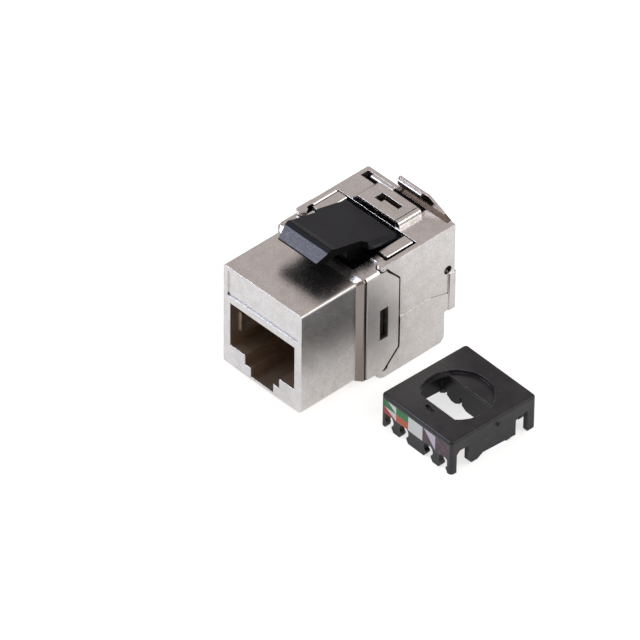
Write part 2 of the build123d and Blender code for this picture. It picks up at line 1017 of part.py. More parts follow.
def cap_comb():
    """The toothed wall under the straight edge of the mouth, in X and Z."""
    half = cap_width / 2 - cap_wall / 2
    outline = Pos(0, (cap_height - cap_top) / 2) * Rectangle(half * 2, cap_height - cap_top)
    for place in notch_places:
        point = notch_radius + comb_slot_half
        gap = make_face(
            Polyline(
                (place - point, -0.01),
                (place - comb_slot_half, comb_point),
                (place - comb_slot_half, comb_slot_rise),
                (place + comb_slot_half, comb_slot_rise),
                (place + comb_slot_half, comb_point),
                (place + point, -0.01),
                close=True,
            )
        )
        outline = outline - gap
    return outline


def cap_frame():
    """Where the wire cap lies: its middle on the floor, and its turn."""
    return Pos(cap_centre[0], cap_centre[1], floor_z) * Rot(0, 0, cap_turn)


def wire_cap():
    """The wire cap: a top plate with a ringed mouth, on notched and plain walls."""
    half_width = cap_width / 2
    half_depth = cap_depth / 2
    notched = extrude(cross_plane(half_depth) * cap_wall_outline(), cap_wall)
    notched = notched + extrude(
        cross_plane(-half_depth + cap_wall) * cap_wall_outline(), cap_wall
    )
    plain = extrude(
        Plane.YZ.offset(half_width - cap_wall) * cap_side_outline(), cap_wall
    )
    top = block(
        (-half_width, half_width),
        (-half_depth, half_depth),
        (cap_height - cap_top, cap_height),
    )
    floor_disc = post(
        0,
        -ring_forward,
        ring_radius + ring_rim,
        cap_height - ring_depth - ring_floor,
        cap_height - cap_top + set_in,
    )
    ring = post(0, -ring_forward, ring_radius, cap_height - ring_depth, cap_height + 1)
    ring = ring & block(
        (-ring_radius, ring_radius),
        (-ring_forward - mouth_front, ring_radius),
        (0, cap_height + 2),
    )
    mouth = post(0, -ring_forward, ring_radius, -1, cap_height + 1)
    mouth = mouth & block(
        (-ring_radius, ring_radius),
        (-ring_forward - mouth_front, ring_chord - ring_forward),
        (-2, cap_height + 2),
    )
    mark_place = Pos(-ring_forward, -half_depth + mark_setback, cap_height) * Rot(0, 0, mark_turn)
    mark = mark_place * extrude(SlotOverall(mark_size[0], mark_size[1]), mark_depth, both=True)
    comb_end = ring_chord - ring_forward + comb_setback + cap_wall
    comb = extrude(cross_plane(comb_end) * cap_comb(), cap_wall)
    label_bed = block(
        (-label_length / 2, label_length / 2),
        (-half_depth - 1, -half_depth + label_thickness),
        (cap_height - label_drop - label_height, cap_height - label_drop),
    )
    bump = Pos(half_width, bump_setback, cap_height - bump_drop) * Sphere(bump_radius)
    moulding = notched + mirror_pair(plain) + top + floor_disc + comb - ring - mouth
    envelope = block(
        (-half_width, half_width),
        (-half_depth, half_depth),
        (0, cap_height),
    )
    envelope = fillet(envelope.edges().filter_by(Axis.Z), cap_corner)
    envelope = fillet(envelope.edges().group_by(Axis.Z)[-1], cap_edge)
    moulding = (moulding & envelope) - mark - label_bed + bump
    rib_middle = half_depth - rib_inset
    for row in (1, -1):
        for place in notch_places:
            rib = block(
                (place - rib_half, place + rib_half),
                (row * rib_middle - rib_reach, row * rib_middle + rib_reach),
                (cap_height - cap_top - rib_height, cap_height - cap_top + set_in),
            )
            moulding = moulding + rib
    return cap_frame() * moulding


def wiring_label():
    """The colour label, stuck in its bed on the front wall of the wire cap."""
    edge = -cap_depth / 2
    label = block(
        (-label_length / 2, label_length / 2),
        (edge, edge + label_thickness),
        (cap_height - label_drop - label_height, cap_height - label_drop),
    )
    return cap_frame() * label


pieces = {
    "front_housing": front_housing(),
    "contact_carrier": contact_carrier(),
    "circuit_board": circuit_board(),
    "wire_block": wire_block(),
    "latch_clip": latch_clip(),
    "left_door": left_door(),
    "right_door": right_door(),
    "hinge_pin_right": hinge_pin(1),
    "hinge_pin_left": mirror(hinge_pin(1), Plane.YZ),
    "low_hinge_pin_right": hinge_pin(-1),
    "low_hinge_pin_left": mirror(hinge_pin(-1), Plane.YZ),
    "shield_spring_right": shield_spring(),
    "shield_spring_left": mirror(shield_spring(), Plane.YZ),
    "wire_cap": wire_cap(),
    "wiring_label": wiring_label(),
}
for number in range(contact_count):
    pieces[f"spring_contact_{number + 1}"] = contact_wire(number)
for number, place in enumerate(notch_places):
    pieces[f"wire_blade_upper_{number + 1}"] = wire_blade(place, 1)
    pieces[f"wire_blade_lower_{number + 1}"] = wire_blade(place, -1)

os.makedirs("parts", exist_ok=True)
for name, shape in pieces.items():
    export_step(shape, f"parts/{name}.step")
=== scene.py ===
"""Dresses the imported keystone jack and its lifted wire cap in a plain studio."""
import logging
import math
from dataclasses import dataclass
from enum import Enum
from typing import Any, Iterable, Optional, Union

import bmesh
import bpy
from mathutils import Matrix, Vector


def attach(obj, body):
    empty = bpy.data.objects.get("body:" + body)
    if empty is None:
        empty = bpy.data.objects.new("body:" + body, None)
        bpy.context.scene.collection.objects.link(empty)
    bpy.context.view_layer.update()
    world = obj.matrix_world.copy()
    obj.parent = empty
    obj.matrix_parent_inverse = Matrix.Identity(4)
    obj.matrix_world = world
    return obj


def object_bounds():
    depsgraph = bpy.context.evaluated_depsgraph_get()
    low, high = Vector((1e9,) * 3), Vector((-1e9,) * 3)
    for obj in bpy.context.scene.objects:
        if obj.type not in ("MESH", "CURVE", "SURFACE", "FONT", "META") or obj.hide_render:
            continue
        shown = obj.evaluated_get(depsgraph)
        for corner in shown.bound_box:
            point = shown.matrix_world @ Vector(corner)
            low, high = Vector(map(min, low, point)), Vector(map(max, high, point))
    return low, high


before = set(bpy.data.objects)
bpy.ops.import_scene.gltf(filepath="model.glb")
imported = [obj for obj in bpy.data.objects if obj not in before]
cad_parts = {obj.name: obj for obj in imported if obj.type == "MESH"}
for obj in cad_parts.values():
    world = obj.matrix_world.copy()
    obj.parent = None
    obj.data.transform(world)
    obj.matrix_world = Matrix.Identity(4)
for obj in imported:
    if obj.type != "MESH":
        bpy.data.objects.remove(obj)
cad_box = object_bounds()

logging.basicConfig(level=logging.INFO, format="%(message)s")
log = logging.getLogger("keystone_jack")

MM = 0.001
WHITE = (1.0, 1.0, 1.0)
NOISE_MIDDLE = 0.5
Span = tuple[float, float]
Point = tuple[float, float, float]
Colour = tuple[float, float, float]
Number = Union[int, float]


class Kind(Enum):
    """What a shader signal carries, which decides the node that works on it."""

    VALUE = "value"
    VECTOR = "vector"
    COLOUR = "colour"


class Signal:
    """A shader socket that can be used in plain Python arithmetic."""

    def __init__(self, shader: "Shader", socket: Any, kind: Kind = Kind.VALUE) -> None:
        """Keeps the socket and what it carries.

        Args:
            shader: the material or world that owns the socket.
            socket: an output socket.
            kind: what the socket carries.
        """
        self.shader = shader
        self.socket = socket
        self.kind = kind

    def _join(self, operation: str, first: Any, second: Any) -> "Signal":
        """Adds the node for one operation on two operands.

        Args:
            operation: a Math or Vector Math operation.
            first: the left operand, a signal, number or triple.
            second: the right operand.

        Returns:
            The signal that carries the result.
        """
        if self.kind is Kind.VALUE:
            return self.shader.node(
                "ShaderNodeMath", {"operation": operation}, {0: first, 1: second}
            )
        spread = [v if not isinstance(v, (int, float)) else (v, v, v) for v in (first, second)]
        return self.shader.node(
            "ShaderNodeVectorMath",
            {"operation": operation},
            {0: spread[0], 1: spread[1]},
            kind=self.kind,
        )

    def __add__(self, other: Any) -> "Signal":
        """Adds."""
        return self._join("ADD", self, other)

    def __radd__(self, other: Any) -> "Signal":
        """Adds, from the right."""
        return self._join("ADD", other, self)

    def __sub__(self, other: Any) -> "Signal":
        """Subtracts."""
        return self._join("SUBTRACT", self, other)

    def __rsub__(self, other: Any) -> "Signal":
        """Subtracts from a number, as in 1 - mask."""
        return self._join("SUBTRACT", other, self)

    def __mul__(self, other: Any) -> "Signal":
        """Multiplies."""
        return self._join("MULTIPLY", self, other)

    def __rmul__(self, other: Any) -> "Signal":
        """Multiplies, from the right."""
        return self._join("MULTIPLY", other, self)

    def __truediv__(self, other: Any) -> "Signal":
        """Divides."""
        return self._join("DIVIDE", self, other)

    def __gt__(self, other: Any) -> "Signal":
        """Is 1 where the signal is above the other operand."""
        return self._join("GREATER_THAN", self, other)

    def __lt__(self, other: Any) -> "Signal":
        """Is 1 where the signal is below the other operand."""
        return self._join("LESS_THAN", self, other)

    def __abs__(self) -> "Signal":
        """Takes the size without the sign."""
        return self._join("ABSOLUTE", self, 0.0)

    def clamp(self) -> "Signal":
        """Keeps the value between 0 and 1."""
        return self.shader.node("ShaderNodeClamp", {}, {0: self})

    def fit(self, low: Number, high: Number) -> "Signal":
        """Maps a range smoothly on 0 to 1 and holds its ends.

        Args:
            low: the value that becomes 0.
            high: the value that becomes 1.

        Returns:
            The mapped signal.
        """
        return self.shader.node(
            "ShaderNodeMapRange",
            {"interpolation_type": "SMOOTHSTEP"},
            {0: self, 1: low, 2: high, 3: 0.0, 4: 1.0},
        )

    def about(self, share: float) -> "Signal":
        """Turns noise around 0.5 into a change round 0, scaled by a share."""
        return (self - NOISE_MIDDLE) * share

    def dot(self, other: Any) -> "Signal":
        """Gives the dot product with another vector."""
        return self.shader.node(
            "ShaderNodeVectorMath",
            {"operation": "DOT_PRODUCT"},
            {0: self, 1: other},
            output="Value",
        )

    def axis(self, letter: str) -> "Signal":
        """Gives one coordinate of a vector, named by its letter."""
        return self.shader.node("ShaderNodeSeparateXYZ", {}, {0: self}, output=letter)


class Shader:
    """Builds the nodes of one material, or of the world."""

    def __init__(self, owner: Any) -> None:
        """Clears the owner's nodes.

        Args:
            owner: a material or world.
        """
        owner.use_nodes = True
        self.owner = owner
        self.tree = owner.node_tree
        self.tree.nodes.clear()

    def node(
        self,
        kind_name: str,
        settings: dict[str, Any],
        inputs: dict[Union[int, str], Any],
        output: Union[int, str] = 0,
        kind: Kind = Kind.VALUE,
    ) -> Signal:
        """Adds a node, sets it up and joins its sockets.

        Args:
            kind_name: the node's type.
            settings: properties that are set first.
            inputs: values or signals by socket number or name.
            output: the output socket that is wanted.
            kind: what that output carries.

        Returns:
            The output as a signal.
        """
        node = self.tree.nodes.new(kind_name)
        for name, value in settings.items():
            setattr(node, name, value)
        for name, value in inputs.items():
            socket = node.inputs[name]
            if isinstance(value, Signal):
                self.tree.links.new(value.socket, socket)
            elif value is not None:
                wide = isinstance(value, tuple) and len(value) == 3
                if wide and socket.type == "RGBA":
                    value = (*value, 1.0)
                socket.default_value = value
        return Signal(self, node.outputs[output] if node.outputs else None, kind)

    def mix(self, mask: Any, low: Any, high: Any) -> Signal:
        """Mixes two colours by a mask.

        Args:
            mask: 0 gives low and 1 gives high.
            low: a colour or a signal.
            high: a colour or a signal.

        Returns:
            The mixed colour.
        """
        return self.node(
            "ShaderNodeMix",
            {"data_type": "RGBA"},
            {0: mask, 6: low, 7: high},
            output=2,
            kind=Kind.COLOUR,
        )

    def place(self) -> Signal:
        """Gives the place on the object in millimetres."""
        where = self.node("ShaderNodeTexCoord", {}, {}, output="Object", kind=Kind.VECTOR)
        return where * (1.0 / MM)

    def noise(self, where: Signal, size: float, detail: float = 2.0, rough: float = 0.5) -> Signal:
        """Gives soft noise around 0.5.

        Args:
            where: the place in millimetres.
            size: the size of its blotches in millimetres.
            detail: how many finer layers it has.
            rough: how strong the finer layers are.

        Returns:
            The noise value.
        """
        return self.node(
            "ShaderNodeTexNoise",
            {},
            {"Vector": where, "Scale": 1.0 / size, "Detail": detail, "Roughness": rough},
        )

    def rounded(self, radius: float) -> Signal:
        """Gives the normal with the edges rounded by a radius in millimetres."""
        return self.node(
            "ShaderNodeBevel", {"samples": 6}, {"Radius": radius * MM}, kind=Kind.VECTOR
        )

    def edge(self, rounded: Signal, reach: float = 0.12) -> Signal:
        """Gives a mask that is 1 on the edges.

        Args:
            rounded: the rounded normal.
            reach: how much turn of the normal counts as fully on the edge.

        Returns:
            The mask.
        """
        return (1.0 - rounded.dot(self.facing())).fit(0.0, reach)

    def bump(self, height: Signal, depth: float, normal: Optional[Signal] = None) -> Signal:
        """Turns a height signal into a normal.

        Args:
            height: the height, 0 to 1.
            depth: its full depth in millimetres.
            normal: the normal that it starts from.

        Returns:
            The bumped normal.
        """
        return self.node(
            "ShaderNodeBump",
            {},
            {"Height": height, "Distance": depth * MM, "Strength": 1.0, "Normal": normal},
            kind=Kind.VECTOR,
        )

    def occlusion(self, reach: float) -> Signal:
        """Gives how open a point is to its surroundings within a reach in millimetres."""
        return self.node(
            "ShaderNodeAmbientOcclusion", {"samples": 8}, {"Distance": reach * MM}, output="AO"
        )

    def facing(self) -> Signal:
        """Gives the direction that the surface faces."""
        return self.node("ShaderNodeNewGeometry", {}, {}, output="Normal", kind=Kind.VECTOR)

    def principled(self, **sockets: Any) -> Signal:
        """Adds a Principled shader.

        Args:
            **sockets: values or signals by socket name, with _ for a space.

        Returns:
            The shader's output.
        """
        named = {name.replace("_", " "): value for name, value in sockets.items()}
        return self.node("ShaderNodeBsdfPrincipled", {}, named)

    def blend(self, mask: Any, low: Signal, high: Signal) -> Signal:
        """Mixes two shaders by a mask.

        Args:
            mask: 0 gives low and 1 gives high.
            low: a shader.
            high: a shader.

        Returns:
            The mixed shader.
        """
        return self.node("ShaderNodeMixShader", {}, {0: mask, 1: low, 2: high})

    def ray(self, sort: str) -> Signal:
        """Is 1 for one sort of light ray, such as Is Glossy Ray."""
        return self.node("ShaderNodeLightPath", {}, {}, output=sort)

    def output(self, shader: Signal) -> None:
        """Ends the material in a shader."""
        self.node("ShaderNodeOutputMaterial", {}, {"Surface": shader})

    def surface(self, **sockets: Any) -> None:
        """Ends the material in one Principled shader with the given sockets."""
        self.output(self.principled(**sockets))


def new_shader(name: str) -> Shader:
    """Starts a new material with the given name."""
    return Shader(bpy.data.materials.new(name))


def dress(names: Iterable[str], material: Any) -> None:
    """Gives CAD nodes a material.

    Args:
        names: the nodes' names.
        material: the material for all of their slots.
    """
    for name in names:
        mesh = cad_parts[name].data
        mesh.materials.clear()
        mesh.materials.append(material)
        log.info("dressed %s in %s", name, material.name)


@dataclass(frozen=True)
class PlatedCasting:
    """Satin nickel over a zinc casting: warm, finely grained, with a painted highlight on its
    edges.

    Its places and sizes are in millimetres in the part's frame, and its masks mark the dull
    places of the jack in the photograph, and where shade, dark reflections and highlights are
    painted into the colour.
    """

    name: str = "satin_nickel"
    tone: Colour = (0.82, 0.80, 0.785)
    dull_and_shade_tone: Colour = (0.68, 0.65, 0.63)
    speck_tone: Colour = (0.50, 0.48, 0.46)
    edge_highlight_tone: Colour = (0.95, 0.94, 0.93)
    shoulder_reflection_tone: Colour = (0.32, 0.274, 0.246)
    port_shade_tone: Colour = (0.56, 0.45, 0.36)
    crevice_shade_tone: Colour = (0.035, 0.027, 0.022)
    crevice_reach: float = 0.7
    roughness: float = 0.24
    grain_roughness: float = 0.2
    mottle_roughness: float = 0.10
    port_roughness: float = 0.2
    grain_size: float = 0.17
    grain_depth: float = 0.014
    mottle_size: float = 1.3
    cloud_size: float = 5.0
    cloud_share: float = 0.4
    dull_range: Span = (0.40, 0.62)
    dull_share: float = 0.55
    speck_range: Span = (0.40, 0.76)
    speck_share: float = 0.75
    edge_highlight_share: float = 0.25
    crevice_range: Span = (0.45, 0.85)
    edge_round: float = 0.10
    shoulder: Span = (9.5, 10.4)
    shoulder_half: float = 7.26
    line_end: float = 10.72
    line_half: float = 7.68
    ledge_start: float = 0.02
    ledge_end: float = 0.3
    ledge: Span = (4.45, 4.85)
    ledge_shade_tone: Colour = (0.42, 0.41, 0.40)
    port_half: float = 6.04
    port_top: float = 3.55
    port_start: float = 0.12
    port_end: float = 9.7
    seam_half: float = 0.13
    seam_side: float = 7.9
    seam: tuple[Span, ...] = ((14.0, 9.75), (16.4, 7.08), (16.4, -4.32), (13.75, -7.0))
    arch_front: float = 25.94
    arch_low: float = 10.44
    arch_facing: float = -0.5
    foot_middle: Point = (2.5, 25.98, 10.62)
    foot_half: Point = (4.75, 0.42, 0.3)
    panel: Span = (10.72, 16.4)
    panel_roughness: float = 0.12
    arch_shade_tone: Colour = (0.22, 0.18, 0.15)
    strap_shade: Point = (0.0, 22.12, 10.66)
    strap_shade_half: Point = (3.15, 2.0, 0.36)

    def shoulder_reflection_mask(self, where: Signal) -> Signal:
        """Marks the sloping shoulder on the sides, where a dark reflection is painted in as a
        browner colour.
        """
        y = where.axis("Y")
        side = abs(where.axis("X")) > self.shoulder_half
        return side * (y > self.shoulder[0]) * (y < self.shoulder[1])

    def port_mask(self, where: Signal) -> Signal:
        """Marks the walls inside the port, which get painted shade, darker and browner."""
        y = where.axis("Y")
        inside = (abs(where.axis("X")) < self.port_half) * (where.axis("Z") < self.port_top)
        return inside * (y > self.port_start) * (y < self.port_end)

    def box_mask(self, where: Signal, middle: Point, half: Point) -> Signal:
        """Marks the inside of a box.

        Args:
            where: the place in millimetres.
            middle: the box's middle.
            half: half of its three sides.

        Returns:
            The mask.
        """
        mask: Any = 1.0
        for letter, centre, reach in zip("XYZ", middle, half):
            mask = (abs(where.axis(letter) - centre) < reach) * mask
        return mask

    def ledge_mask(self, where: Signal) -> Signal:
        """Marks the lower ledge of the recessed panel, which is painted darker as shade to tone
        down its reflection.
        """
        y, z = where.axis("Y"), where.axis("Z")
        deep = (y > self.ledge_start) * (y < self.ledge_end)
        return deep * (z > self.ledge[0]) * (z < self.ledge[1])

    def arch_shade_mask(self, s: Shader, where: Signal) -> Signal:
        """Marks the front face of the rear arch and its foot, which only mirror dark things, so
        they get painted shade.
        """
        front = s.facing().axis("Y") < self.arch_facing
        face = front * (where.axis("Y") > self.arch_front) * (where.axis("Z") > self.arch_low)
        return (face + self.box_mask(where, self.foot_middle, self.foot_half)).clamp()

    def panel_mask(self, where: Signal) -> Signal:
        """Marks the side panels, which are duller than the rest."""
        y = where.axis("Y")
        side = abs(where.axis("X")) > self.seam_side
        return side * (y > self.panel[0]) * (y < self.panel[1])

    def line_mask(self, where: Signal) -> Signal:
        """Marks the line between shoulder and side panel, where shade is painted in as a dark
        line.
        """
        y = where.axis("Y")
        side = abs(where.axis("X")) > self.line_half
        return side * (y > self.shoulder[1]) * (y < self.line_end)

    def seam_mask(self, where: Signal) -> Signal:
        """Marks the gap between the side panels and the doors, where shade is painted in as a dark
        line.
        """
        marks = abs(where.axis("X")) > self.seam_side
        total: Any = 0.0
        for (y0, z0), (y1, z1) in zip(self.seam, self.seam[1:]):
            length = math.hypot(y1 - y0, z1 - z0)
            along = (0.0, (y1 - y0) / length, (z1 - z0) / length)
            across = (0.0, along[2], -along[1])
            run = where.dot(along) - (y0 * along[1] + z0 * along[2])
            off = abs(where.dot(across) - (y0 * across[1] + z0 * across[2]))
            total = total + (off < self.seam_half) * (run > 0.0) * (run < length)
        return (marks * total).clamp()

    def build(self) -> Any:
        """Builds the material."""
        s = new_shader(self.name)
        where = s.place()
        grain = s.noise(where, self.grain_size, 3.0, 0.7)
        mottle = s.noise(where, self.mottle_size, 3.0, 0.55)
        cloud = s.noise(where, self.cloud_size)
        rounded = s.rounded(self.edge_round)
        patchy = mottle * (1.0 - self.cloud_share) + cloud * self.cloud_share
        # duller patches at random, not shade
        dull_and_shade = patchy.fit(*self.dull_range)
        tone = s.mix(dull_and_shade * self.dull_share, self.tone, self.dull_and_shade_tone)
        speck = grain.fit(*self.speck_range)
        tone = s.mix(speck * self.speck_share, tone, self.speck_tone)
        # painted highlight: the edges are lightened where light would catch them
        tone = s.mix(s.edge(rounded) * self.edge_highlight_share, tone, self.edge_highlight_tone)
        # painted dark reflection on the sloping shoulder
        tone = s.mix(self.shoulder_reflection_mask(where), tone, self.shoulder_reflection_tone)
        port = self.port_mask(where)
        # painted shade inside the port
        tone = s.mix(port, tone, self.port_shade_tone)
        # painted shade in crevices, found by the occlusion
        hidden = 1.0 - s.occlusion(self.crevice_reach)
        crevice = hidden.fit(*self.crevice_range) * (1.0 - port)
        # painted shade on the panel's lower ledge
        tone = s.mix(self.ledge_mask(where), tone, self.ledge_shade_tone)
        # painted shade on the front of the rear arch and its foot
        tone = s.mix(self.arch_shade_mask(s, where), tone, self.arch_shade_tone)
        shade = self.box_mask(where, self.strap_shade, self.strap_shade_half)
        # painted shade: crevices, seam, shoulder line and strap window all go near black
        painted_shade = (crevice + self.seam_mask(where) + self.line_mask(where) + shade).clamp()
        tone = s.mix(painted_shade, tone, self.crevice_shade_tone)
        rough = self.roughness + grain.about(self.grain_roughness)
        rough = rough + mottle.about(self.mottle_roughness) + port * self.port_roughness
        rough = rough + self.panel_mask(where) * self.panel_roughness
        s.surface(
            Base_Color=tone,
            Metallic=1.0,
            Roughness=rough.clamp(),
            Normal=s.bump(grain, self.grain_depth, rounded),
        )
        return s.owner


@dataclass(frozen=True)
class PlainMetal:
    """A drawn or stamped metal with fine marks along one direction."""

    name: str
    tone: Colour
    worn_tone: Colour
    roughness: float
    stretch: Point = (1.0, 0.12, 1.0)
    mark_size: float = 0.06
    mark_depth: float = 0.003
    mark_roughness: float = 0.2
    blotch_size: float = 0.9
    blotch_range: Span = (0.4, 0.65)
    blotch_share: float = 0.6

    def build(self) -> Any:
        """Builds the material."""
        s = new_shader(self.name)
        where = s.place()
        marks = s.noise(where * self.stretch, self.mark_size, 3.0, 0.6)
        blotch = s.noise(where, self.blotch_size).fit(*self.blotch_range)
        rough = self.roughness + marks.about(self.mark_roughness)
        s.surface(
            Base_Color=s.mix(blotch * self.blotch_share, self.tone, self.worn_tone),
            Metallic=1.0,
            Roughness=rough.clamp(),
            Normal=s.bump(marks, self.mark_depth),
        )
        return s.owner


@dataclass(frozen=True)
class BlackMoulding:
    """Black moulded plastic with a spark-eroded grain and a painted highlight on its edges, broken
    up like rubbed wear.
    """

    name: str
    tone: Colour = (0.006, 0.0058, 0.0075)
    pale_tone: Colour = (0.012, 0.0117, 0.014)
    edge_highlight_tone: Colour = (0.11, 0.11, 0.12)
    roughness: float = 0.36
    specular: float = 0.32
    grain: float = 0.09
    grain_depth: float = 0.006
    edge_round: float = 0.12
    edge_highlight_share: float = 0.5
    edge_reach: float = 0.2
    grain_roughness: float = 0.14
    cloud_roughness: float = 0.12
    cloud_size: float = 2.4
    rub_highlight_size: float = 0.7
    soft_range: Span = (0.35, 0.65)
    scuff_share: float = 0.0
    scuff_tone: Colour = (0.09, 0.085, 0.085)
    scuff_stretch: Point = (0.35, 1.0, 1.0)
    scuff_size: float = 0.7
    scuff_range: Span = (0.56, 0.68)
    patch_size: float = 4.5
    patch_range: Span = (0.48, 0.62)
    # painted shade: the darker, matt copy of the moulding for the shaded places
    dull_and_shade_tone: Colour = (0.003, 0.003, 0.0035)
    shaded_roughness: float = 0.7
    shaded_specular: float = 0.08

    def shade_mask(self, s: Shader, where: Signal) -> Optional[Signal]:
        """Marks where shade is painted in as a darker, matt copy of the moulding, or gives None.

        Args:
            s: the material's shader.
            where: the place in millimetres.

        Returns:
            The mask, if there is one.
        """
        return None

    def build(self) -> Any:
        """Builds the material."""
        s = new_shader(self.name)
        where = s.place()
        grain = s.noise(where, self.grain, 2.0, 0.6)
        cloud = s.noise(where, self.cloud_size, 3.0, 0.55)
        rounded = s.rounded(self.edge_round)
        rubbed_highlight = s.noise(where, self.rub_highlight_size, 3.0, 0.6).fit(*self.soft_range)
        rubbed_highlight = s.edge(rounded, self.edge_reach) * rubbed_highlight
        tone = s.mix(cloud.fit(*self.soft_range), self.tone, self.pale_tone)
        # painted highlight on the edges, broken up by noise like rubbed wear
        tone = s.mix(rubbed_highlight * self.edge_highlight_share, tone, self.edge_highlight_tone)
        if self.scuff_share:
            streak = s.noise(where * self.scuff_stretch, self.scuff_size, 6.0, 0.72)
            patch = s.noise(where, self.patch_size).fit(*self.patch_range)
            scuff = streak.fit(*self.scuff_range) * patch
            tone = s.mix(scuff * self.scuff_share, tone, self.scuff_tone)
        rough = self.roughness + grain.about(self.grain_roughness)
        rough = rough + cloud.about(self.cloud_roughness)
        skin = s.principled(
            Base_Color=tone,
            Roughness=rough.clamp(),
            Specular_IOR_Level=self.specular,
            Normal=s.bump(grain, self.grain_depth, rounded),
        )
        dull_and_shade = self.shade_mask(s, where)
        if dull_and_shade is not None:
            # painted shade: a darker, matt copy of the moulding
            shaded_copy = s.principled(
                Base_Color=self.dull_and_shade_tone,
                Roughness=self.shaded_roughness,
                Specular_IOR_Level=self.shaded_specular,
            )
            skin = s.blend(dull_and_shade, skin, shaded_copy)
        s.output(self.finish(s, where, skin))
        return s.owner

    def finish(self, s: Shader, where: Signal, skin: Signal) -> Signal:
        """Gives the moulding's last layer, here the skin itself.

        Args:
            s: the material's shader.
            where: the place in millimetres.
            skin: the shader so far.

        Returns:
            The shader to show.
        """
        return skin


@dataclass(frozen=True)
class ClipMoulding(BlackMoulding):
    """The clip's moulding: a textured lip with a painted bluish sheen, and painted shade on the
    ridge behind it and the neck sides.

    Its stations are in millimetres along Y, and its facings are parts of the normal.
    """

    name: str = "clip_moulding"
    tone: Colour = (0.0040, 0.0042, 0.0078)
    pale_tone: Colour = (0.0080, 0.0082, 0.0142)
    specular: float = 0.28
    lip_sheen_tone: Colour = (0.018, 0.020, 0.038)
    lip_sheen_pale: Colour = (0.13, 0.135, 0.18)
    lip_specular: float = 0.9
    lip_roughness: float = 0.4
    lip_end: float = 7.62
    lip_bottom: float = 6.05
    lip_facing: float = 0.2
    fleck_size: float = 0.24
    fleck_depth: float = 0.02
    fleck_range: Span = (0.4, 0.65)
    ridge_end: float = 8.35
    ridge_share: float = 0.75
    neck_end: float = 14.0
    neck_facing: float = 0.45
    under_facing: float = -0.2

    def shade_mask(self, s: Shader, where: Signal) -> Optional[Signal]:
        """Marks the neck's sides, the underside, the ridge and the lip's bottom edge, where shade
        is painted in.
        """
        facing = s.facing()
        y = where.axis("Y")
        side = (abs(facing.axis("X")) > self.neck_facing) * (y < self.neck_end)
        under = facing.axis("Z") < self.under_facing
        ridge = (y > self.lip_end) * (y < self.ridge_end) * self.ridge_share
        low = y < self.lip_bottom
        return (side + under + ridge + low).clamp()

    def finish(self, s: Shader, where: Signal, skin: Signal) -> Signal:
        """Adds the textured face of the lip, painted paler and bluish as a painted sheen."""
        y = where.axis("Y")
        up = s.facing().axis("Z") > self.lip_facing
        face = (y < self.lip_end) * (y > self.lip_bottom) * up
        fleck = s.noise(where, self.fleck_size, 2.0, 0.7).fit(*self.fleck_range)
        # painted sheen: the lip's face is paler and bluish where light would shine on it
        lip = s.principled(
            Base_Color=s.mix(fleck, self.lip_sheen_tone, self.lip_sheen_pale),
            Roughness=self.lip_roughness,
            Specular_IOR_Level=self.lip_specular,
            Normal=s.bump(fleck, self.fleck_depth),
        )
        return s.blend(face, skin, lip)


@dataclass(frozen=True)
class BoardLacquer:
    """Green solder lacquer over copper tracks."""

    name: str = "board_lacquer"
    tone: Colour = (0.02, 0.16, 0.06)
    track_tone: Colour = (0.05, 0.26, 0.10)
    track_scale: float = 0.6
    track_range: Span = (0.45, 0.55)
    track_depth: float = 0.02
    roughness: float = 0.32

    def build(self) -> Any:
        """Builds the material."""
        s = new_shader(self.name)
        where = s.place()
        wave = {"Vector": where, "Scale": self.track_scale}
        track = s.node("ShaderNodeTexWave", {}, wave, output=1)
        s.surface(
            Base_Color=s.mix(track.fit(*self.track_range), self.tone, self.track_tone),
            Roughness=self.roughness,
            Normal=s.bump(track, self.track_depth),
        )
        return s.owner


class Patch(Enum):
    """How one field of the wiring label is divided."""

    PLAIN = "plain"
    UPPER_RIGHT = "white triangle in the upper right"


@dataclass(frozen=True)
class Field:
    """One colour field of the label, in shares of its length and height."""

    start: float
    end: float
    low: float
    high: float
    tone: Colour
    patch: Patch = Patch.PLAIN
    patch_tone: Colour = (0.72, 0.74, 0.73)
    patch_start: float = 0.1


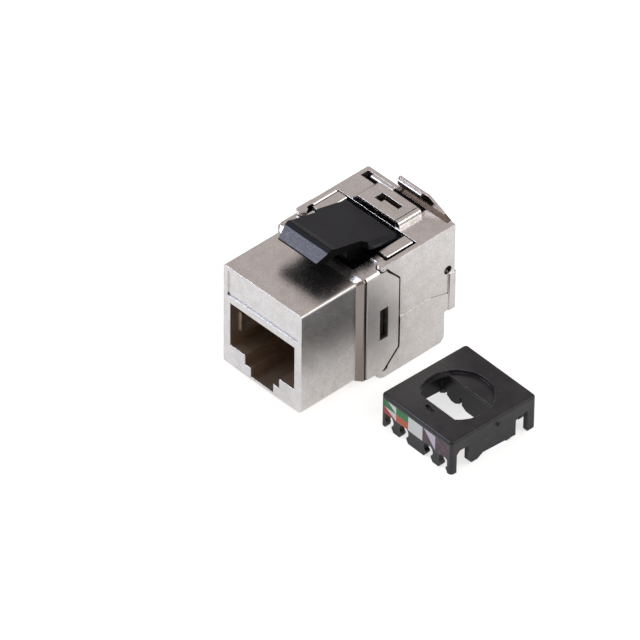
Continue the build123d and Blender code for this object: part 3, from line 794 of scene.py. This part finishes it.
@dataclass(frozen=True)
class PrintedLabel:
    """The colour-coded film on the wire cap, drawn from its fields."""

    name: str = "wiring_print"
    paper: Colour = (0.68, 0.70, 0.69)
    green: Colour = (0.012, 0.19, 0.055)
    orange: Colour = (0.52, 0.10, 0.04)
    red: Colour = (0.38, 0.045, 0.045)
    brown: Colour = (0.062, 0.030, 0.042)
    lilac: Colour = (0.56, 0.51, 0.60)
    columns: tuple[float, ...] = (0.0, 0.19, 0.375, 0.595, 0.79, 1.0)
    rows: Point = (0.0, 0.5, 1.0)
    green_patch_start: float = 0.35
    fade_size: float = 0.35
    fade_range: Span = (0.5, 0.8)
    fade_share: float = 0.2
    film_size: float = 1.6
    film_depth: float = 0.01
    roughness: float = 0.38
    film_roughness: float = 0.2

    def fields(self) -> tuple[Field, ...]:
        """Gives the fields from left to right; between them the paper shows."""
        left, split, gap, right, last, end = self.columns
        low, middle, high = self.rows
        corner = Patch.UPPER_RIGHT
        start = self.green_patch_start
        return (
            Field(left, split, middle, high, self.green, corner, patch_start=start),
            Field(left, split, low, middle, self.red, corner),
            Field(split, gap, middle, high, self.green),
            Field(split, gap, low, middle, self.orange),
            Field(right, last, low, high, self.brown, corner, self.lilac),
            Field(last, end, low, high, self.brown),
        )

    def build(self, cap: "WireCap") -> Any:
        """Builds the material.

        Args:
            cap: the wire cap, whose place and turn the label follows.

        Returns:
            The material.
        """
        s = new_shader(self.name)
        where = s.place()
        turn = math.radians(cap.turn)
        along = (math.cos(turn), math.sin(turn), 0.0)
        middle = cap.centre[0] * along[0] + cap.centre[1] * along[1]
        u = (where.dot(along) - (middle - cap.label_length / 2)) / cap.label_length
        v = (where.axis("Z") - cap.label_low) / cap.label_height
        tone: Any = self.paper
        for part in self.fields():
            inside = (u > part.start) * (u < part.end) * (v > part.low) * (v < part.high)
            fill: Any = part.tone
            if part.patch is Patch.UPPER_RIGHT:
                across = (u - part.start) / (part.end - part.start)
                up = (v - part.low) / (part.high - part.low)
                corner = (across + up * (1.0 - part.patch_start)) > 1.0
                fill = s.mix(corner, part.tone, part.patch_tone)
            tone = s.mix(inside, tone, fill)
        fade = s.noise(where, self.fade_size, 3.0, 0.6).fit(*self.fade_range)
        film = s.noise(where, self.film_size)
        s.surface(
            Base_Color=s.mix(fade * self.fade_share, tone, self.paper),
            Roughness=self.roughness + film.about(self.film_roughness),
            Normal=s.bump(film, self.film_depth),
        )
        return s.owner


class Along(Enum):
    """The axis that a prism runs along, and where its outline's two measures go."""

    X = "outline in Y and Z"
    Y = "outline in X and Z"

    def place(self, run: float, first: float, high: float) -> Point:
        """Gives a point in metres from its place along the axis and in the outline."""
        point = (run, first, high) if self is Along.X else (first, run, high)
        return (point[0] * MM, point[1] * MM, point[2] * MM)


@dataclass(frozen=True)
class Prism:
    """A small casting detail: an outline that runs straight along one axis."""

    name: str
    along: Along
    span: Span
    outline: tuple[Span, ...]

    def build(self, body: str, slot: str, material: Any) -> None:
        """Adds the piece to a body.

        Args:
            body: the CAD body that it moves with.
            slot: not used.
            material: its material.
        """
        count = len(self.outline)
        places = [self.along.place(run, a, b) for run in self.span for a, b in self.outline]
        faces: list[tuple[int, ...]] = [
            (i, i + count, (i + 1) % count + count, (i + 1) % count) for i in range(count)
        ]
        faces.append(tuple(range(count)))
        faces.append(tuple(reversed(range(count, 2 * count))))
        mesh = bpy.data.meshes.new(self.name)
        mesh.from_pydata(places, [], faces)
        flip = bmesh.new()
        flip.from_mesh(mesh)
        bmesh.ops.recalc_face_normals(flip, faces=flip.faces)
        flip.to_mesh(mesh)
        flip.free()
        mesh.materials.append(material)
        piece = bpy.data.objects.new(self.name, mesh)
        bpy.context.collection.objects.link(piece)
        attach(piece, body)
        log.info("added %s to %s", self.name, body)


def round_sill(y: Span, z: Span, radius: float, steps: int = 8) -> tuple[Span, ...]:
    """Gives the outline of a sill whose front top edge is a quarter round.

    Args:
        y: its front and rear.
        z: its bottom and top.
        radius: the radius of the quarter round.
        steps: how many lines the round has.

    Returns:
        The outline in Y and Z.
    """
    points = [(y[0], z[0])]
    for step in range(steps + 1):
        turn = math.pi / 2 * step / steps
        back = radius * (1.0 - math.cos(turn))
        down = radius * (1.0 - math.sin(turn))
        points.append((y[0] + back, z[1] - down))
    return tuple(points + [(y[1], z[1]), (y[1], z[0])])


@dataclass
class Casting:
    """The plated castings: the housing and its two rear doors with their pins."""

    finish: PlatedCasting = PlatedCasting()
    slot: str = "plated_zinc"
    pin: PlainMetal = PlainMetal("pin_steel", (0.62, 0.61, 0.60), (0.50, 0.48, 0.46), 0.3)
    strip: PlainMetal = PlainMetal("spring_strip", (0.55, 0.52, 0.49), (0.36, 0.33, 0.30), 0.34)
    castings: tuple[str, ...] = ("front_housing", "left_door", "right_door")
    pins: tuple[str, ...] = (
        "hinge_pin_left", "hinge_pin_right", "low_hinge_pin_left", "low_hinge_pin_right"
    )
    springs: tuple[str, ...] = ("shield_spring_left", "shield_spring_right")
    left_details: tuple[Prism, ...] = (
        Prism("rear_sill", Along.X, (-6.35, -2.3), round_sill((24.95, 25.65), (9.5, 10.39), 0.3)),
        Prism(
            "rim_thickening", Along.Y, (15.7, 19.85),
            ((-7.45, 9.0), (-7.12, 9.0), (-7.12, 10.22), (-7.26, 10.38), (-7.45, 10.38)),
        ),
    )
    right_details: tuple[Prism, ...] = (
        Prism(
            "arch_foot", Along.Y, (26.02, 26.34),
            ((-1.35, 10.3), (7.3, 10.3), (7.3, 10.42), (6.3, 10.85), (-1.35, 10.85)),
        ),
    )

    def build(self) -> None:
        """Dresses the castings, pins and earth springs, and adds the doors' small details."""
        nickel = self.finish.build()
        dress(self.castings, nickel)
        for detail in self.left_details:
            detail.build("left_door", self.slot, nickel)
        for detail in self.right_details:
            detail.build("right_door", self.slot, nickel)
        dress(self.pins, self.pin.build())
        dress(self.springs, self.strip.build())


@dataclass
class LatchClip:
    """The black latch clip on top of the jack."""

    def build(self) -> None:
        """Dresses the clip."""
        dress(("latch_clip",), ClipMoulding().build())


@dataclass
class PortInsert:
    """The insert behind the port, with its eight spring contacts, and the board."""

    contact_count: int = 8
    insert: BlackMoulding = BlackMoulding("insert_moulding", roughness=0.5)
    gold: PlainMetal = PlainMetal("gold_wire", (0.86, 0.62, 0.24), (0.74, 0.50, 0.18), 0.22)

    def build(self) -> None:
        """Dresses the insert, the contacts and the board."""
        dress(("contact_carrier",), self.insert.build())
        names = [f"spring_contact_{i + 1}" for i in range(self.contact_count)]
        dress(names, self.gold.build())
        dress(("circuit_board",), BoardLacquer().build())


@dataclass
class WireBlock:
    """The slotted block at the back, with its forked blades."""

    blade_count: int = 4
    block: BlackMoulding = BlackMoulding("block_moulding", roughness=0.48)
    tin: PlainMetal = PlainMetal("tinned_blade", (0.72, 0.71, 0.69), (0.6, 0.58, 0.55), 0.3)

    def build(self) -> None:
        """Dresses the block and its blades."""
        dress(("wire_block",), self.block.build())
        names = [
            f"wire_blade_{row}_{i + 1}"
            for row in ("upper", "lower")
            for i in range(self.blade_count)
        ]
        dress(names, self.tin.build())


@dataclass
class WireCap:
    """The wire cap that lies beside the jack, with its label."""

    centre: Span = (21.4, 14.3)
    turn: float = -1.8
    label_length: float = 12.3
    label_height: float = 2.3
    label_low: float = -5.82
    cap: BlackMoulding = BlackMoulding(
        "cap_moulding",
        tone=(0.0075, 0.0074, 0.0095),
        pale_tone=(0.019, 0.0185, 0.022),
        # painted highlight on the cap's edges
        edge_highlight_tone=(0.30, 0.30, 0.32),
        roughness=0.33,
        specular=0.5,
        edge_highlight_share=0.9,
        scuff_share=0.55,
    )

    def build(self) -> None:
        """Dresses the cap and its label."""
        dress(("wire_cap",), self.cap.build())
        dress(("wiring_label",), PrintedLabel().build(self))


@dataclass
class Lamp:
    """One soft area lamp."""

    name: str
    place: Point
    size: Span
    power: float
    tone: Colour = WHITE

    def build(self, aim: Vector) -> None:
        """Adds the lamp.

        Args:
            aim: the point that it faces, in metres.
        """
        data = bpy.data.lights.new(self.name, "AREA")
        data.shape = "RECTANGLE"
        data.size, data.size_y = (side * MM for side in self.size)
        data.energy = self.power
        data.color = self.tone
        lamp = bpy.data.objects.new(self.name, data)
        lamp.location = Vector(self.place) * MM
        lamp.rotation_euler = (aim - lamp.location).to_track_quat("-Z", "Y").to_euler()
        bpy.context.collection.objects.link(lamp)
        log.info("lamp %s", self.name)


@dataclass
class Studio:
    """A pale floor, soft lamps and a white surround."""

    floor_half: float = 900.0
    floor_gap: float = 0.02
    floor_tone: Colour = (0.82, 0.82, 0.82)
    floor_lift: float = 0.65
    mirrored_lift: float = 0.30
    zenith_from: float = 0.8
    horizon: Colour = (0.80, 0.79, 0.78)
    zenith: Colour = (0.55, 0.52, 0.50)
    mirrored_horizon: Colour = (0.42, 0.40, 0.395)
    mirrored_zenith: Colour = (0.575, 0.515, 0.50)
    lamps: tuple[Lamp, ...] = (
        Lamp("key_lamp", (194.0, 158.0, 168.0), (110.0, 110.0), 0.10),
        Lamp("lip_lamp", (-160.0, -112.0, 215.0), (100.0, 100.0), 0.26, (0.70, 0.79, 1.0)),
        Lamp("front_lamp", (-160.0, -190.0, 150.0), (90.0, 60.0), 0.035),
    )

    def floor(self) -> None:
        """Lays the floor under the object."""
        low = cad_box[0][2] - self.floor_gap * MM
        half = self.floor_half * MM
        mesh = bpy.data.meshes.new("floor")
        corners = [(-half, -half, low), (half, -half, low), (half, half, low), (-half, half, low)]
        mesh.from_pydata(corners, [], [(0, 1, 2, 3)])
        floor = bpy.data.objects.new("floor", mesh)
        bpy.context.collection.objects.link(floor)
        s = new_shader("floor_paper")
        paper = s.node("ShaderNodeBsdfDiffuse", {}, {"Color": self.floor_tone})
        seen = s.ray("Is Camera Ray") * self.floor_lift
        mirrored = s.ray("Is Glossy Ray") * self.mirrored_lift
        glow = {"Color": WHITE, "Strength": seen + mirrored}
        lift = s.node("ShaderNodeEmission", {}, glow)
        s.output(s.node("ShaderNodeAddShader", {}, {0: paper, 1: lift}))
        mesh.materials.append(s.owner)

    def surround(self) -> None:
        """Makes the world white for the camera and dimmer, warmer above for the rest."""
        world = bpy.data.worlds.new("surround")
        bpy.context.scene.world = world
        s = Shader(world)
        where = s.node("ShaderNodeTexCoord", {}, {}, output="Generated", kind=Kind.VECTOR)
        high = where.axis("Z").fit(0.0, self.zenith_from)
        lit = s.mix(high, self.horizon, self.zenith)
        mirrored = s.mix(high, self.mirrored_horizon, self.mirrored_zenith)
        tone = s.mix(s.ray("Is Glossy Ray"), lit, mirrored)
        dim = s.node("ShaderNodeBackground", {}, {"Color": tone, "Strength": 1.0})
        white = s.node("ShaderNodeBackground", {}, {"Color": WHITE, "Strength": 1.0})
        direct = (s.ray("Is Camera Ray") + s.ray("Is Transmission Ray")).clamp()
        s.node("ShaderNodeOutputWorld", {}, {"Surface": s.blend(direct, dim, white)})

    def build(self) -> None:
        """Sets up floor, surround and lamps."""
        bpy.context.scene.view_settings.view_transform = "Standard"
        self.floor()
        self.surround()
        aim = (Vector(cad_box[0]) + Vector(cad_box[1])) / 2
        for lamp in self.lamps:
            lamp.build(aim)


@dataclass
class PhotoCamera:
    """A long lens at the photograph's viewing angle."""

    azimuth: float = 46.2
    elevation: float = 40.3
    roll: float = 0.65
    aim: Point = (5.0, 13.0, 1.0)
    shift_right: float = -5.507
    shift_up: float = -0.752
    distance: float = 1000.0
    focal_pixels: float = 7816.0
    frame_pixels: float = 640.0
    sensor: float = 36.0
    nearest: float = 0.05
    farthest: float = 10.0

    def build(self) -> None:
        """Adds the camera and makes it the scene's camera."""
        a, e, r = (math.radians(v) for v in (self.azimuth, self.elevation, self.roll))
        back = Vector((math.sin(a) * math.cos(e), -math.cos(a) * math.cos(e), math.sin(e)))
        level = Vector((math.cos(a), math.sin(a), 0.0))
        upright = back.cross(level)
        right = level * math.cos(r) + upright * math.sin(r)
        up = upright * math.cos(r) - level * math.sin(r)
        data = bpy.data.cameras.new("photo_camera")
        data.sensor_width = self.sensor
        data.lens = self.focal_pixels / self.frame_pixels * self.sensor
        data.clip_start = self.nearest
        data.clip_end = self.farthest
        camera = bpy.data.objects.new("photo_camera", data)
        spot = Vector(self.aim) + back * self.distance
        spot = spot + right * self.shift_right + up * self.shift_up
        turn = Matrix((right, up, back)).transposed().to_4x4()
        camera.matrix_world = Matrix.Translation(spot * MM) @ turn
        bpy.context.collection.objects.link(camera)
        bpy.context.scene.camera = camera
        log.info("camera at %s", [round(v, 4) for v in camera.location])


def main() -> None:
    """Dresses every sub-assembly, then builds the studio and the camera."""
    for part in (Casting(), LatchClip(), PortInsert(), WireBlock(), WireCap()):
        part.build()
        log.info("finished %s", type(part).__name__)
    Studio().build()
    PhotoCamera().build()


if __name__ == "__main__":
    main()
